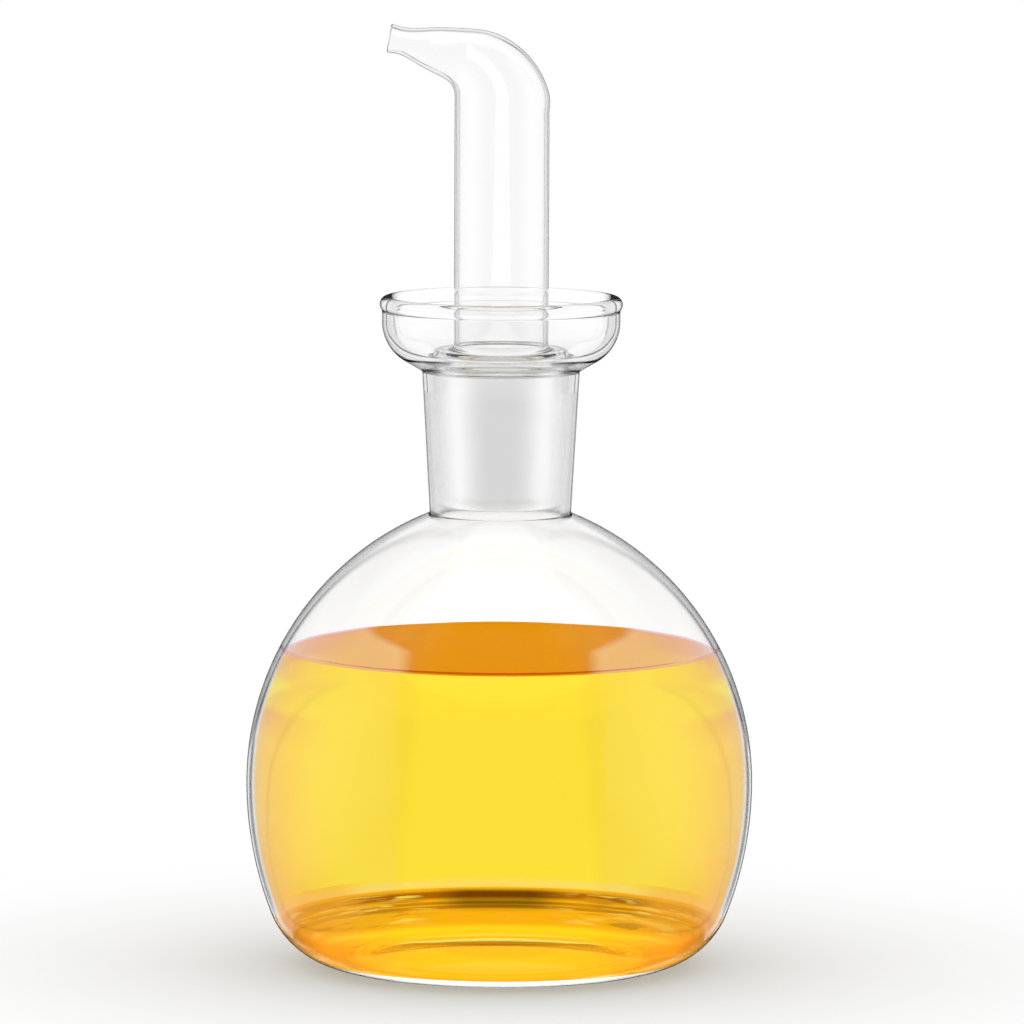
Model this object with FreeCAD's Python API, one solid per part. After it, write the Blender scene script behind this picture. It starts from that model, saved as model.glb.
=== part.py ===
import FreeCAD, Part
import math
import os

# Oil bottle of blown glass. Three separate pieces:
#   bottle  round flask, ground neck and the drip cup fused round its top
#   spout   hollow ground stopper with a bent, tapering pouring tube
#   oil     fills the flask up to the oil level
# Millimetres, +Z up, the axis of the flask on Z, its foot at Z = 0.
# The spout pours towards -X.

# ---- flask ----
body_radius = 51.0
widest_height = 37.0
shoulder_arc_radius = 58.7
corner_radius = 16.6
foot_inset = 20.4
foot_land = 6.1
punt_height = 1.5
body_wall = 1.2

# ---- neck, ground inside to take the stopper ----
neck_radius = 14.2
neck_length = 28.7
neck_taper = 0.056
neck_wall = 1.9

# ---- drip cup ----
cup_reach = 8.1
cup_height = 13.4
cup_wall = 2.0
cup_bend_radius = 9.0
cup_floor_angle = 30.0
rim_bead_radius = 1.6
rim_overhang = 0.5

# ---- stopper and pouring tube ----
joint_clearance = 0.05
stopper_lift = 2.8
stopper_stand = 0.9
stopper_wall = 1.5
stopper_round = 1.5
tube_radius = 9.5
tube_wall = 0.8
tube_rise = 55.3

# ---- bend and nose ----
bend_turn = 61.0
bend_inner_radius = 3.7
bend_sections = 5
bend_fullness = 1.12
nose_root_radius = 5.75
nose_length = 14.0
nose_angle = 12.7
mouth_radius = 2.9
mouth_tilt = 80.0
lip_length = 1.8
lip_flare = 0.15

# ---- contents ----
oil_level = 64.3

os.makedirs("parts", exist_ok=True)


def vec(radius, height):
    return FreeCAD.Vector(radius, 0, height)


def line(start, end):
    return Part.makeLine(vec(*start), vec(*end))


def arc(centre, radius, start_angle, end_angle):
    """Arc in the XZ plane; angles in degrees from +X towards +Z."""
    points = []
    for share in (0.0, 0.5, 1.0):
        angle = math.radians(start_angle + share * (end_angle - start_angle))
        points.append(vec(centre[0] + radius * math.cos(angle), centre[1] + radius * math.sin(angle)))
    return Part.Arc(*points).toShape()


def revolve(edges):
    wire = Part.Wire(Part.__sortEdges__(edges))
    return Part.Face(wire).revolve(vec(0, 0), FreeCAD.Vector(0, 0, 1), 360)


# ---- sizes that follow from the flask ----
foot_radius = body_radius - foot_inset
punt_radius = foot_radius - foot_land
shoulder_centre = (body_radius - shoulder_arc_radius, widest_height)
corner_centre = (foot_radius, corner_radius)
corner_drop = widest_height - corner_radius
belly_arc_radius = (foot_inset ** 2 + corner_drop ** 2 - corner_radius ** 2) / (2 * (foot_inset - corner_radius))
belly_centre = (body_radius - belly_arc_radius, widest_height)
belly_end_angle = math.degrees(math.atan2(corner_centre[1] - belly_centre[1], corner_centre[0] - belly_centre[0]))
punt_arc_radius = (punt_radius ** 2 + punt_height ** 2) / (2 * punt_height)
punt_arc_angle = math.degrees(math.asin(punt_radius / punt_arc_radius))


def shoulder_angle(offset, radius):
    """Angle on the shoulder arc, moved in by offset, where it reaches radius."""
    return math.degrees(math.acos((radius - shoulder_centre[0]) / (shoulder_arc_radius - offset)))


def shoulder_height(offset, radius):
    angle = math.radians(shoulder_angle(offset, radius))
    return widest_height + (shoulder_arc_radius - offset) * math.sin(angle)


def flask_edges(offset, neck_foot):
    """Section of the flask from the axis out and up to the neck, moved in by offset."""
    punt_centre = (0, punt_height + offset - punt_arc_radius)
    return [
        arc(punt_centre, punt_arc_radius, 90, 90 - punt_arc_angle),
        line((punt_radius, offset), (foot_radius, offset)),
        arc(corner_centre, corner_radius - offset, -90, belly_end_angle),
        arc(belly_centre, belly_arc_radius - offset, belly_end_angle, 0),
        arc(shoulder_centre, shoulder_arc_radius - offset, 0, shoulder_angle(offset, neck_foot)),
    ]


# ---- sizes that follow from the neck and the cup ----
neck_foot_height = shoulder_height(0, neck_radius)
neck_top_height = neck_foot_height + neck_length
neck_top_radius = neck_radius + neck_taper * neck_length
socket_foot_radius = neck_radius - neck_wall
socket_foot_height = shoulder_height(body_wall, socket_foot_radius)
floor_slope = math.tan(math.radians(cup_floor_angle))
floor_across = math.sin(math.radians(cup_floor_angle))
floor_down = math.cos(math.radians(cup_floor_angle))
cup_radius = neck_top_radius + cup_reach
cup_bend_axis = cup_radius - cup_bend_radius
cup_floor_reach = cup_bend_axis + cup_bend_radius * floor_across - neck_top_radius
cup_bend_height = neck_top_height + cup_floor_reach * floor_slope + cup_bend_radius * floor_down
rim_radius = cup_radius + rim_overhang - rim_bead_radius
rim_height = neck_top_height + cup_height
socket_top_radius = neck_top_radius - neck_wall
socket_top_height = neck_top_height + cup_wall / floor_down - neck_wall * floor_slope


def cup_floor_end(offset):
    """Point where the sloping floor of the cup turns into its bend."""
    radius = cup_bend_radius - offset
    return (cup_bend_axis + radius * floor_across, cup_bend_height - radius * floor_down)


def bead_drop(radius):
    """Depth below the centre of the rim bead at which the bead meets a wall of this radius."""
    return math.sqrt(rim_bead_radius ** 2 - (radius - rim_radius) ** 2)


def socket_radius(height):
    share = (height - socket_foot_height) / (socket_top_height - socket_foot_height)
    return socket_foot_radius + share * (socket_top_radius - socket_foot_radius)


def make_bottle():
    cup_centre = (cup_bend_axis, cup_bend_height)
    inner_radius = cup_radius - cup_wall
    outer_wall_top = rim_height - bead_drop(cup_radius)
    inner_wall_top = rim_height - bead_drop(inner_radius)
    outer_bead = math.degrees(math.asin(-bead_drop(cup_radius) / rim_bead_radius))
    inner_bead = 180 - math.degrees(math.asin(-bead_drop(inner_radius) / rim_bead_radius))
    edges = flask_edges(0, neck_radius)
    edges += [
        line((neck_radius, neck_foot_height), (neck_top_radius, neck_top_height)),
        line((neck_top_radius, neck_top_height), cup_floor_end(0)),
        arc(cup_centre, cup_bend_radius, cup_floor_angle - 90, 0),
        line((cup_radius, cup_bend_height), (cup_radius, outer_wall_top)),
        arc((rim_radius, rim_height), rim_bead_radius, outer_bead, inner_bead),
        line((inner_radius, inner_wall_top), (inner_radius, cup_bend_height)),
        arc(cup_centre, cup_bend_radius - cup_wall, 0, cup_floor_angle - 90),
        line(cup_floor_end(cup_wall), (socket_top_radius, socket_top_height)),
        line((socket_top_radius, socket_top_height), (socket_foot_radius, socket_foot_height)),
    ]
    edges += flask_edges(body_wall, socket_foot_radius)
    edges.append(line((0, punt_height), (0, punt_height + body_wall)))
    return revolve(edges)


def make_oil():
    edges = flask_edges(body_wall, socket_foot_radius)
    edges.append(line((socket_foot_radius, socket_foot_height), (0, socket_foot_height)))
    edges.append(line((0, socket_foot_height), (0, punt_height + body_wall)))
    inside = revolve(edges)
    below_level = Part.makeCylinder(2 * body_radius, oil_level)
    return inside.common(below_level).Solids[0]


# ---- sizes that follow from the stopper and the tube ----
stopper_foot_height = socket_foot_height + stopper_lift
stopper_top_height = socket_top_height + stopper_stand
stopper_foot_radius = socket_radius(stopper_foot_height) - joint_clearance
stopper_top_radius = socket_radius(stopper_top_height) - joint_clearance
bore_radius = tube_radius - tube_wall
tube_top_height = neck_top_height + tube_rise


def shoulder_turn(top, tube, rounding):
    """Radius of the stopper's shoulder, which leaves a level step between its two bends."""
    return min(rounding, 0.45 * (top - tube))


def stopper_edges(foot, top, top_height, tube, rounding):
    """Section of one surface of the stopper: cone, rounded shoulder, tube."""
    turn = shoulder_turn(top, tube, rounding)
    shoulder_top = top_height + turn
    return [
        line((foot, stopper_foot_height), (top, top_height)),
        arc((top - turn, top_height), turn, 0, 90),
        line((top - turn, shoulder_top), (tube + turn, shoulder_top)),
        arc((tube + turn, shoulder_top + turn), turn, 270, 180),
        line((tube, shoulder_top + turn), (tube, tube_top_height)),
    ]


def stopper_skin():
    """Outer and inner surface of the stopper and its tube, open where the bend begins."""
    inner_round = stopper_round / 2
    inner_foot = stopper_foot_radius - stopper_wall
    inner_top = stopper_top_radius - stopper_wall
    outer_turn = shoulder_turn(stopper_top_radius, tube_radius, stopper_round)
    inner_turn = shoulder_turn(inner_top, bore_radius, inner_round)
    inner_height = stopper_top_height + outer_turn - stopper_wall - inner_turn
    edges = stopper_edges(stopper_foot_radius, stopper_top_radius, stopper_top_height, tube_radius, stopper_round)
    edges += stopper_edges(inner_foot, inner_top, inner_height, bore_radius, inner_round)
    edges.append(line((stopper_foot_radius, stopper_foot_height), (inner_foot, stopper_foot_height)))
    wire = Part.Wire(Part.__sortEdges__(edges))
    return wire.revolve(vec(0, 0), FreeCAD.Vector(0, 0, 1), 360)


def ring(centre, tilt, radius):
    """Round section whose plane is turned by tilt degrees from level."""
    circle = Part.makeCircle(radius).toNurbs().Edges[0]
    circle.rotate(vec(0, 0), FreeCAD.Vector(0, 1, 0), -tilt)
    circle.translate(vec(*centre))
    return Part.Wire(circle)


def nose_rings(inset):
    """Sections of the bend and the nose, from the tube to the mouth, moved in by inset."""
    pivot = (-tube_radius - bend_inner_radius, tube_top_height)
    rings = []
    for step in range(bend_sections + 1):
        share = step / bend_sections
        tilt = math.radians(share * bend_turn)
        radius = tube_radius - (tube_radius - nose_root_radius) * share ** bend_fullness
        reach = bend_inner_radius + radius
        centre = (pivot[0] + reach * math.cos(tilt), pivot[1] + reach * math.sin(tilt))
        rings.append(ring(centre, share * bend_turn, radius - inset))
    root = centre
    heading = math.radians(nose_angle)
    lip_radius = mouth_radius - lip_flare
    lip_start = nose_length - lip_length
    for distance, radius in ((lip_start / 2, (nose_root_radius + lip_radius) / 2), (lip_start, lip_radius),
                             (nose_length, mouth_radius)):
        tilt = bend_turn + (mouth_tilt - bend_turn) * distance / nose_length
        centre = (root[0] - distance * math.cos(heading), root[1] + distance * math.sin(heading))
        rings.append(ring(centre, tilt, radius - inset))
    return rings


def make_spout():
    outer = nose_rings(0)
    inner = nose_rings(tube_wall)
    mouth = Part.Face([outer[-1], inner[-1]])
    faces = stopper_skin().Faces + Part.makeLoft(outer).Faces + Part.makeLoft(inner).Faces + [mouth]
    skin = Part.makeShell(faces)
    skin.sewShape()
    spout = Part.makeSolid(skin)
    spout.fix(1e-4, 1e-4, 1e-3)
    return spout


pieces = {"bottle": make_bottle(), "spout": make_spout(), "oil": make_oil()}
for name, shape in pieces.items():
    box = shape.BoundBox
    print(name, shape.ShapeType, shape.isValid(), len(shape.Solids), round(shape.Volume / 1000, 2), "cm3",
          round(box.XMin, 2), round(box.XMax, 2), round(box.ZMin, 2), round(box.ZMax, 2))
    shape.exportStep("parts/" + name + ".step")
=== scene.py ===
import math

import bmesh
import bpy
import numpy as np
from bpy.props import FloatProperty, FloatVectorProperty, IntProperty, PointerProperty
from bpy.types import Operator, Panel, PropertyGroup
from mathutils import Matrix, Vector


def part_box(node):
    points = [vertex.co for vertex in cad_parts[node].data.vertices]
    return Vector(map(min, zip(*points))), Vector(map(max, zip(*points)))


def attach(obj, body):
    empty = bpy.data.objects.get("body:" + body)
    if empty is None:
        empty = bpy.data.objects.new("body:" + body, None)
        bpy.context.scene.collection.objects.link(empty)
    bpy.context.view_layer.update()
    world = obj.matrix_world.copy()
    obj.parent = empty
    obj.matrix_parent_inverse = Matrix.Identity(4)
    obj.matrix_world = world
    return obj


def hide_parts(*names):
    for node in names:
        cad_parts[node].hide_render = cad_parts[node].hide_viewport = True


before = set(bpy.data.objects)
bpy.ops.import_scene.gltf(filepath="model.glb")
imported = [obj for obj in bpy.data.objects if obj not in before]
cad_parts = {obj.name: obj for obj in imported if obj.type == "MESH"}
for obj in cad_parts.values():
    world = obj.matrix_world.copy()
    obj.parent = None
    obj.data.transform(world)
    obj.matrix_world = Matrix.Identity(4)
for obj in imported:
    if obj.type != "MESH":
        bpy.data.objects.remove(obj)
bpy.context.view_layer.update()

bl_info = {
    "name": "Oil bottle",
    "version": (1, 0, 0),
    "blender": (4, 5, 0),
    "location": "3D View > Sidebar > Oil Bottle",
    "description": "Builds a blown-glass oil bottle with its drip cup, pouring stopper, oil and studio",
    "category": "Object",
}

BOTTLE_LOW, BOTTLE_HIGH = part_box("bottle")
_, OIL_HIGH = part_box("oil")
MM = 0.001
FACETS = 176


def length(name, description, default_mm):
    return FloatProperty(name=name, description=description, default=default_mm * MM, min=0.0,
                         precision=5, subtype="DISTANCE", unit="LENGTH")


def angle(name, description, default_degrees):
    return FloatProperty(name=name, description=description, default=math.radians(default_degrees),
                         subtype="ANGLE", unit="ROTATION")


def tint(name, description, default):
    return FloatVectorProperty(name=name, description=description, default=default, min=0.0, max=1.0,
                               size=3, subtype="COLOR")


class BottleSizes(PropertyGroup):
    """Sizes of the flask, its neck and its drip cup."""
    body_radius: FloatProperty(name="Body radius", description="Radius of the widest ring of the flask",
                               default=min(-BOTTLE_LOW[0], -BOTTLE_LOW[1], BOTTLE_HIGH[0], BOTTLE_HIGH[1]),
                               subtype="DISTANCE", unit="LENGTH")
    widest_height: length("Widest height", "Height of the widest ring above the foot", 37.0)
    shoulder_radius: length("Shoulder arc", "Radius of the arc that makes the shoulder", 58.7)
    corner_radius: length("Foot corner", "Radius of the corner between side and foot", 16.6)
    foot_inset: length("Foot inset", "How much smaller than the body the foot ring is", 20.4)
    foot_land: length("Foot land", "Width of the flat ring the bottle stands on", 6.1)
    punt_height: length("Punt height", "How far the middle of the base is pushed up", 1.5)
    body_wall: length("Body wall", "Thickness of the blown wall", 1.2)
    neck_radius: length("Neck radius", "Outer radius of the neck where it meets the shoulder", 14.2)
    neck_length: length("Neck length", "Length of the neck from shoulder to drip cup", 28.7)
    neck_taper: FloatProperty(name="Neck taper", description="Widening of the neck radius for its length",
                              default=0.056, min=0.0)
    neck_wall: length("Neck wall", "Thickness of the ground neck", 1.9)
    cup_reach: length("Cup reach", "How far the drip cup stands out from the neck", 8.1)
    cup_height: length("Cup height", "Height of the middle of the rim bead over the neck", 13.4)
    cup_wall: length("Cup wall", "Thickness of the drip cup", 2.0)
    cup_bend: length("Cup bend", "Outer radius of the bend between floor and wall of the cup", 9.0)
    cup_floor_angle: angle("Cup floor slope", "Slope of the floor of the drip cup", 30)
    rim_bead: length("Rim bead", "Radius of the melted bead round the rim", 1.6)
    rim_overhang: length("Rim overhang", "How far the bead stands out from the cup", 0.5)
    segments: IntProperty(name="Segments", description="Flat facets round each turned or drawn piece",
                          default=FACETS, min=24, max=400)


class SpoutSizes(PropertyGroup):
    """Sizes of the ground stopper and its pouring tube."""
    clearance: length("Joint clearance", "Space between the ground faces", 0.05)
    lift: length("Stopper lift", "Height of the stopper's foot over the foot of the socket", 2.8)
    stand: length("Stopper stand", "How far the cone stands out of the socket", 0.9)
    wall: length("Cone wall", "Thickness of the hollow cone", 1.5)
    shoulder: length("Shoulder rounding", "Radius of the two bends of the stopper's shoulder", 1.5)
    tube_radius: length("Tube radius", "Outer radius of the pouring tube", 9.5)
    tube_wall: length("Tube wall", "Thickness of the pouring tube", 0.8)
    tube_rise: length("Tube rise", "Height of the bend over the top of the neck", 55.3)
    bend_turn: angle("Bend", "Turn of the section round the inside of the bend", 61)
    bend_inner: length("Inner bend", "Radius of the inside of the bend", 3.7)
    bend_fullness: FloatProperty(name="Bend fullness", description="How late in the bend the tube narrows",
                                 default=1.12, min=0.1)
    root_radius: length("Nose root", "Radius of the nose where it leaves the bend", 5.75)
    nose_length: length("Nose length", "Length of the nose from the bend to the mouth", 14.0)
    nose_angle: angle("Nose rise", "Rise of the nose above level", 12.7)
    mouth_radius: length("Mouth radius", "Outer radius of the mouth", 2.9)
    mouth_tilt: angle("Mouth tilt", "Slant of the mouth", 80)
    lip_length: length("Lip length", "Length of the flared lip", 1.8)
    lip_flare: length("Lip flare", "How much the lip opens", 0.15)


class OilSizes(PropertyGroup):
    """Level and edge of the oil."""
    level: FloatProperty(name="Level", description="Height of the oil over the foot", default=OIL_HIGH[2],
                         subtype="DISTANCE", unit="LENGTH")
    into_wall: length("Into the wall", "How far the oil reaches into the glass, so that no air shows", 0.25)
    climb: length("Climb", "How high the oil climbs at the glass", 1.1)
    climb_width: length("Climb width", "Width of the curved edge of the surface", 2.2)


class BottleColours(PropertyGroup):
    """Colours and finishes, with painted light and shade for the oil and the ground glass."""
    glass_tint: tint("Glass", "Tint of the clear glass", (1.0, 1.0, 1.0))
    glass_ior: FloatProperty(name="Glass bending", description="Refractive index of the glass", default=1.38)
    oil_ior: FloatProperty(name="Oil bending", description="Refractive index of the oil", default=1.003)
    oil_tint: tint("Oil", "Colour that the oil lets through", (1.0, 0.768, 0.048))
    oil_side_tint: tint("Oil sides", "Colour that the oil lets through at its sides", (1.0, 0.765, 0.075))
    # Painted shade in the middle of the oil's top skin and painted light on its paler sides.
    surface_shade_tint: tint("Oil surface", "Colour of the oil's top skin", (0.56, 0.100, 0.0001))
    surface_side_light_tint: tint("Oil surface sides", "Colour of the paler sides of the top skin",
                            (0.73, 0.32, 0.43))
    # Painted shade in the heel: its darker tint and dark rings. The pale line over them is a painted
    # highlight.
    foot_tint: tint("Oil at the foot", "Colour of the oil over the base", (1.0, 0.34, 0.001))
    heel_shade_tint: tint("Oil in the heel", "Colour of the oil in the heel", (0.92, 0.26, 0.0001))
    heel_shade_ring_tint: tint("Heel rings", "Colour of the dark rings in the heel", (0.18, 0.02, 0.0))
    heel_highlight_tint: tint("Heel line", "Colour of the pale line over the heel", (1.0, 0.72, 0.33))
    edge_low_tint: tint("Low oil edge", "Colour of the oil's edge near the foot", (0.97, 0.48, 0.03))
    edge_tint: tint("Oil edge", "Colour of the oil's outer edge", (1.0, 0.585, 0.07))
    # Bands of painted shade and a band of painted highlight along the oil's outer edge.
    edge_shade_band_tint: tint("Oil edge band", "Colour of the orange bands of the oil's outer edge",
                         (0.87, 0.40, 0.07))
    edge_highlight_tint: tint("Oil edge glow", "Colour of the bright band of the oil's outer edge",
                           (1.0, 0.775, 0.03))
    # Painted light on the ground glass: a grey painted shade where its faces are seen squarely, and a painted
    # white glow where they are seen aslant.
    ground_shade_tint: tint("Ground glass", "Tint of the ground faces where they are seen squarely",
                      (0.93, 0.93, 0.93))
    ground_glow: FloatProperty(name="Ground glass light", default=0.058, min=0.0,
                                description="Light that the ground faces scatter at a slant")
    oil_depth_tint: tint("Oil depth tint", "Colour that deep oil turns to", (0.99, 0.85, 0.3))
    oil_depth: FloatProperty(name="Oil depth of colour", description="Absorption of the oil per metre",
                             default=2.0)
    frost: FloatProperty(name="Ground finish", description="Roughness of the ground faces", default=0.22,
                         subtype="FACTOR")
    floor_tint: tint("Floor", "Colour of the floor", (0.9, 0.9, 0.9))


# ---------------------------------------------------------------- outlines

# Degrees from point to point on wide arcs, on the shallow base and on small bends.
ARC_STEP = 1.5
PUNT_STEP = 0.5
SMALL_STEP = 6
SAME_POINT = 1e-9


def arc_points(centre, radius, start, end, step=ARC_STEP):
    """Points of an arc; start and end in degrees from outwards towards up."""
    count = max(2, int(abs(end - start) / step) + 1)
    angles = np.radians(np.linspace(start, end, count))
    return [(centre[0] + radius * math.cos(a), centre[1] + radius * math.sin(a)) for a in angles]


class FlaskShape:
    """Places of the bottle's rings that follow from its sizes."""

    def __init__(self, s):
        self.s = s
        self.foot_radius = s.body_radius - s.foot_inset
        self.punt_radius = self.foot_radius - s.foot_land
        self.shoulder_centre = (s.body_radius - s.shoulder_radius, s.widest_height)
        self.corner_centre = (self.foot_radius, s.corner_radius)
        drop = s.widest_height - s.corner_radius
        self.belly_radius = ((s.foot_inset ** 2 + drop ** 2 - s.corner_radius ** 2)
                             / (2 * (s.foot_inset - s.corner_radius)))
        self.belly_centre = (s.body_radius - self.belly_radius, s.widest_height)
        self.belly_end = math.degrees(math.atan2(self.corner_centre[1] - self.belly_centre[1],
                                                 self.corner_centre[0] - self.belly_centre[0]))
        self.punt_arc = (self.punt_radius ** 2 + s.punt_height ** 2) / (2 * s.punt_height)
        self.punt_angle = math.degrees(math.asin(self.punt_radius / self.punt_arc))
        self.neck_foot = self.shoulder_height(0, s.neck_radius)
        self.neck_top = self.neck_foot + s.neck_length
        self.neck_top_radius = s.neck_radius + s.neck_taper * s.neck_length
        self.socket_foot_radius = s.neck_radius - s.neck_wall
        self.socket_foot = self.shoulder_height(s.body_wall, self.socket_foot_radius)
        slope = math.tan(s.cup_floor_angle)
        self.across = math.sin(s.cup_floor_angle)
        self.down = math.cos(s.cup_floor_angle)
        self.cup_radius = self.neck_top_radius + s.cup_reach
        self.cup_axis = self.cup_radius - s.cup_bend
        reach = self.cup_axis + s.cup_bend * self.across - self.neck_top_radius
        self.cup_bend_height = self.neck_top + reach * slope + s.cup_bend * self.down
        self.rim_radius = self.cup_radius + s.rim_overhang - s.rim_bead
        self.rim_height = self.neck_top + s.cup_height
        self.socket_top_radius = self.neck_top_radius - s.neck_wall
        self.socket_top = self.neck_top + s.cup_wall / self.down - s.neck_wall * slope

    def shoulder_angle(self, offset, radius):
        arc_radius = self.s.shoulder_radius - offset
        return math.degrees(math.acos((radius - self.shoulder_centre[0]) / arc_radius))

    def shoulder_height(self, offset, radius):
        angle = math.radians(self.shoulder_angle(offset, radius))
        return self.s.widest_height + (self.s.shoulder_radius - offset) * math.sin(angle)

    def socket_radius(self, height):
        share = (height - self.socket_foot) / (self.socket_top - self.socket_foot)
        return self.socket_foot_radius + share * (self.socket_top_radius - self.socket_foot_radius)

    def flask(self, offset, neck_foot):
        """Outline from the middle of the base out and up to the neck, moved in by offset."""
        s = self.s
        points = arc_points((0, s.punt_height + offset - self.punt_arc), self.punt_arc, 90,
                            90 - self.punt_angle, PUNT_STEP)
        points += arc_points(self.corner_centre, s.corner_radius - offset, -90, self.belly_end)
        points += arc_points(self.belly_centre, self.belly_radius - offset, self.belly_end, 0)
        points += arc_points(self.shoulder_centre, s.shoulder_radius - offset, 0,
                             self.shoulder_angle(offset, neck_foot))
        points[0] = (0.0, points[0][1])
        return points

    def bead_drop(self, radius):
        return math.sqrt(self.s.rim_bead ** 2 - (radius - self.rim_radius) ** 2)

    def bottle(self):
        """Whole outline of the glass: outside from base to rim, then back down inside."""
        s = self.s
        inner = self.cup_radius - s.cup_wall
        outer_angle = math.degrees(math.asin(-self.bead_drop(self.cup_radius) / s.rim_bead))
        inner_angle = 180 - math.degrees(math.asin(-self.bead_drop(inner) / s.rim_bead))
        bend = (self.cup_axis, self.cup_bend_height)
        floor = math.degrees(s.cup_floor_angle) - 90
        points = self.flask(0, s.neck_radius)
        points.append((self.neck_top_radius, self.neck_top))
        points += arc_points(bend, s.cup_bend, floor, 0)
        points += arc_points((self.rim_radius, self.rim_height), s.rim_bead, outer_angle, inner_angle,
                             SMALL_STEP)
        points += arc_points(bend, s.cup_bend - s.cup_wall, 0, floor)
        points.append((self.socket_top_radius, self.socket_top))
        points += self.flask(s.body_wall, self.socket_foot_radius)[::-1]
        return points


def soften(points, spread=0.25 * MM, step=0.1 * MM):
    """Rounds the corners of an outline as a flame does, and keeps its two ends."""
    points = np.array(points)
    steps = np.hypot(*np.diff(points, axis=0).T)
    points = points[np.r_[True, steps > SAME_POINT]]
    along = np.r_[0, np.cumsum(np.hypot(*np.diff(points, axis=0).T))]
    count = int(along[-1] / step)
    even = np.linspace(0, along[-1], count)
    fine = np.stack([np.interp(even, along, points[:, i]) for i in (0, 1)], axis=1)
    reach = int(3 * spread / step)
    weights = np.exp(-0.5 * (np.arange(-reach, reach + 1) * step / spread) ** 2)
    weights /= weights.sum()
    before = 2 * fine[0] - fine[reach:0:-1]
    after = 2 * fine[-1] - fine[-2:-reach - 2:-1]
    padded = np.concatenate([before, fine, after])
    smooth = np.stack([np.convolve(padded[:, i], weights, "valid") for i in (0, 1)], axis=1)
    smooth[0], smooth[-1] = fine[0], fine[-1]
    return smooth


def thin_out(points, turn=1.6, reach=1.1 * MM):
    """Keeps the points of a fine outline where it turns or runs on."""
    kept = [points[0]]
    turned = 0.0
    for before, here, after in zip(points[:-2], points[1:-1], points[2:]):
        a, b = here - before, after - here
        turned += abs(math.degrees(math.atan2(a[0] * b[1] - a[1] * b[0], a @ b)))
        if turned >= turn or np.hypot(*(here - kept[-1])) >= reach:
            kept.append(here)
            turned = 0.0
    kept.append(points[-1])
    return np.array(kept)


# ---------------------------------------------------------------- nodes

WHITE = (1.0, 1.0, 1.0)
BLACK = (0.0, 0.0, 0.0)


def set_inputs(node, values):
    for label, value in values.items():
        node.inputs[label].default_value = value


class Bench:
    """Makes the nodes of one tree and joins them."""

    def __init__(self, tree):
        self.nodes, self.links = tree.nodes, tree.links

    def add(self, kind, **settings):
        made = self.nodes.new(kind)
        for key, value in settings.items():
            setattr(made, key, value)
        return made

    def put(self, value, socket):
        """Joins an output to a socket, or sets the socket to a number or a colour."""
        if isinstance(value, bpy.types.NodeSocket):
            self.links.new(value, socket)
        elif isinstance(value, (int, float)):
            socket.default_value = value
        else:
            socket.default_value = (*value, 1)

    def calc(self, operation, *values, clamp=False):
        made = self.add("ShaderNodeMath", operation=operation, use_clamp=clamp)
        for value, socket in zip(values, made.inputs):
            self.put(value, socket)
        return made.outputs[0]

    def ramp(self, value, span, start=0.0, end=1.0, kind="SMOOTHSTEP"):
        """Goes from start to end while the value crosses the span."""
        made = self.add("ShaderNodeMapRange", interpolation_type=kind)
        set_inputs(made, {"From Min": span[0], "From Max": span[1], "To Min": start, "To Max": end})
        self.put(value, made.inputs["Value"])
        return made.outputs[0]

    def blend(self, share, first, second, kind="MIX"):
        made = self.add("ShaderNodeMix", data_type="RGBA", blend_type=kind)
        for label, value in (("Factor", share), ("A", first), ("B", second)):
            self.put(value, made.inputs[label])
        return made.outputs["Result"]

    def split(self, vector):
        made = self.add("ShaderNodeSeparateXYZ")
        self.put(vector, made.inputs[0])
        return list(made.outputs)

    def combine(self, *values):
        made = self.add("ShaderNodeCombineXYZ")
        for value, socket in zip(values, made.inputs):
            self.put(value, socket)
        return made.outputs[0]

    def largest(self, *values):
        found = values[0]
        for value in values[1:]:
            found = self.calc("MAXIMUM", found, value)
        return found

    def vector(self, operation, value, output="Vector"):
        made = self.add("ShaderNodeVectorMath", operation=operation)
        self.put(value, made.inputs[0])
        return made.outputs[output]

    def noise(self, place, scale, detail):
        made = self.add("ShaderNodeTexNoise")
        set_inputs(made, {"Scale": scale, "Detail": detail})
        self.put(place, made.inputs["Vector"])
        return made.outputs[0]

    def place(self):
        """Where a point lies on its own object."""
        return self.add("ShaderNodeTexCoord").outputs["Object"]

    def facing(self):
        """0 where a face is seen squarely, 1 where it is seen edge on."""
        made = self.add("ShaderNodeLayerWeight")
        made.inputs["Blend"].default_value = 0.5
        return made.outputs["Facing"]

    def mix_shaders(self, share, first, second):
        made = self.add("ShaderNodeMixShader")
        for value, socket in zip((share, first, second), made.inputs):
            self.put(value, socket)
        return made.outputs[0]


def new_group(name, inputs, outputs):
    """An empty shader group with its bench and its two ends."""
    group = bpy.data.node_groups.new(name, "ShaderNodeTree")
    for label, kind, default in inputs:
        socket = group.interface.new_socket(label, in_out="INPUT", socket_type="NodeSocket" + kind)
        if default is not None:
            socket.default_value = default
    for label, kind in outputs:
        group.interface.new_socket(label, in_out="OUTPUT", socket_type="NodeSocket" + kind)
    bench = Bench(group)
    return group, bench, bench.add("NodeGroupInput"), bench.add("NodeGroupOutput")


def new_material(name):
    """A new material with its bench, its shader and its output."""
    material = bpy.data.materials.new(name)
    material.use_nodes = True
    bench = Bench(material.node_tree)
    return material, bench, bench.nodes["Principled BSDF"], bench.nodes["Material Output"]


# ---------------------------------------------------------------- turned pieces

MERGE_DISTANCE = 1e-6


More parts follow.
